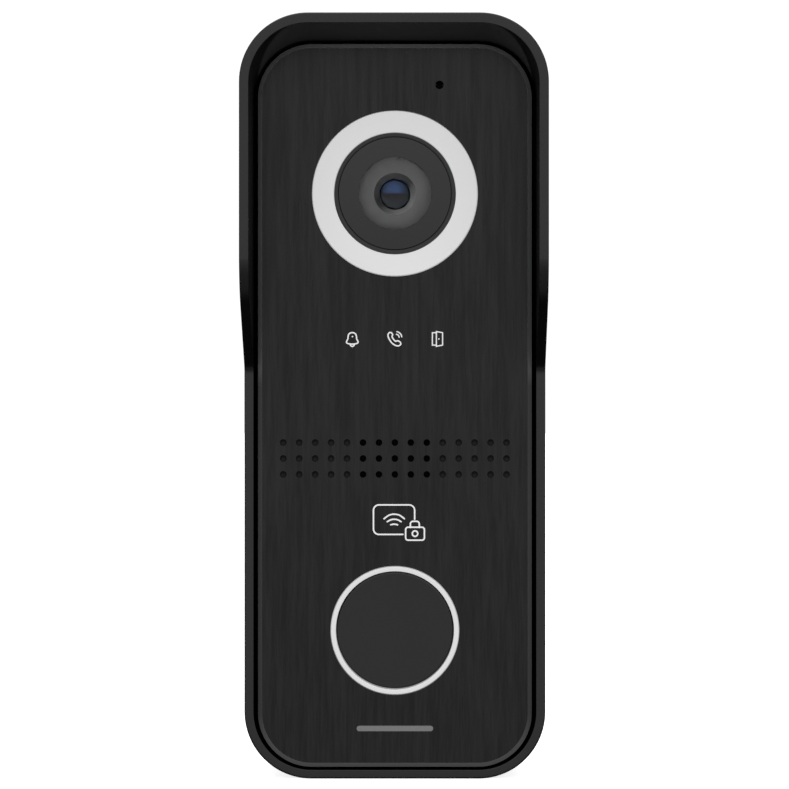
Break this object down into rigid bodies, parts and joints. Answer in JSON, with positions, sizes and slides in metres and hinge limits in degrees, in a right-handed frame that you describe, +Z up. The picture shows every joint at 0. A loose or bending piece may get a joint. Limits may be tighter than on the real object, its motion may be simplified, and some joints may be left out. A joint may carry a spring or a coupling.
{
  "type": "video doorbell",
  "caption": "Slim upright video doorbell in a wall frame whose rain hood shades the camera, with a lit call button, a speaker grille and a card reader.",
  "frame": {"origin": "on the wall plane at the back of the frame, behind the middle of its height and width", "axes": "+X right as a visitor sees it, +Y into the wall, +Z up; the face looks along -Y"},
  "size_m": [0.0662, 0.046, 0.1658],
  "materials": {
    "frame_paint": "fine matt powder coat, near black",
    "brushed_black": "vertical brushing under dark anodising, lighter cut edge",
    "black_plastic": "matt moulded black",
    "button_plastic": "fine matt dark grey",
    "white_diffuser": "satin milky white light diffuser",
    "window_glass": "clear polished",
    "lens_glass": "coated dark blue lens",
    "lens_metal": "satin dark grey, turned",
    "seal_rubber": "matt black rubber",
    "silicone": "translucent grey silicone",
    "clear_plastic": "clear moulded light guide",
    "board_green": "green solder mask",
    "chip_black": "matt moulding compound",
    "plated_steel": "bright tin or nickel plate",
    "stainless": "turned stainless steel",
    "brass": "knurled brass insert",
    "copper": "copper track on a thin film",
    "terminal_green": "moulded green",
    "relay_blue": "moulded blue case",
    "ribbon_white": "flat white film",
    "acoustic_mesh": "fine black acoustic cloth",
    "paper_cone": "pressed black paper"
  },
  "bodies": {
    "doorbell": {"hood_frame": "frame_paint", "front_plate": "brushed_black", "rear_housing": "black_plastic", "camera_bezel": "black_plastic", "lens_mask": "black_plastic", "lens_holder": "black_plastic", "status_light_mask": "black_plastic", "light_ring": "white_diffuser", "button_ring": "white_diffuser", "camera_window": "window_glass", "lens_glass": "lens_glass", "lens_barrel": "lens_metal", "wall_gasket": "seal_rubber", "cable_grommet": "seal_rubber", "window_gasket": "seal_rubber", "speaker_gasket": "seal_rubber", "microphone_boot": "seal_rubber", "housing_gasket": "silicone", "button_membrane": "silicone", "heat_pad": "silicone", "status_light_guide": "clear_plastic", "led_ring_board": "board_green", "camera_board": "board_green", "main_board": "board_green", "image_sensor": "chip_black", "switch_body": "chip_black", "processor": "chip_black", "memory_chip": "chip_black", "poe_transformer": "chip_black", "tamper_body": "chip_black", "speaker_basket": "plated_steel", "speaker_magnet": "plated_steel", "microphone": "plated_steel", "network_jack": "plated_steel", "capacitor_1": "plated_steel", "capacitor_2": "plated_steel", "lock_screw": "stainless", "tamper_spring": "stainless", "plate_screw_1": "stainless", "plate_screw_2": "stainless", "plate_screw_3": "stainless", "plate_screw_4": "stainless", "board_screw_1": "stainless", "board_screw_2": "stainless", "board_screw_3": "stainless", "board_screw_4": "stainless", "camera_screw_1": "stainless", "camera_screw_2": "stainless", "lock_insert": "brass", "reader_antenna": "copper", "terminal_block": "terminal_green", "lock_relay": "relay_blue", "camera_ribbon": "ribbon_white", "speaker_mesh": "acoustic_mesh"},
    "call_button": {"call_button": "button_plastic"},
    "switch_plunger": {"switch_plunger": "button_plastic"},
    "tamper_plunger": {"tamper_plunger": "button_plastic"},
    "speaker_cone": {"speaker_cone": "paper_cone"}
  },
  "joints": [
    {"name": "call_button_press", "type": "slide", "parent": "doorbell", "child": "call_button", "axis": [0, 1, 0], "range_m": [0, 0.0005], "stiffness_N_per_m": 800, "springref_m": -0.002, "deforming": ["button_membrane"]},
    {"name": "switch_plunger_travel", "type": "slide", "parent": "doorbell", "child": "switch_plunger", "axis": [0, 1, 0], "range_m": [0, 0.00025]},
    {"name": "tamper_plunger_travel", "type": "slide", "parent": "doorbell", "child": "tamper_plunger", "axis": [0, 1, 0], "range_m": [0, 0.0015], "deforming": ["tamper_spring"]},
    {"name": "speaker_cone_travel", "type": "slide", "parent": "doorbell", "child": "speaker_cone", "axis": [0, 1, 0], "range_m": [-0.0003, 0.0003], "stiffness_N_per_m": 1500}
  ],
  "couplings": [
    {"joint": "switch_plunger_travel", "follows": "call_button_press", "ratio": 0.5}
  ]
}
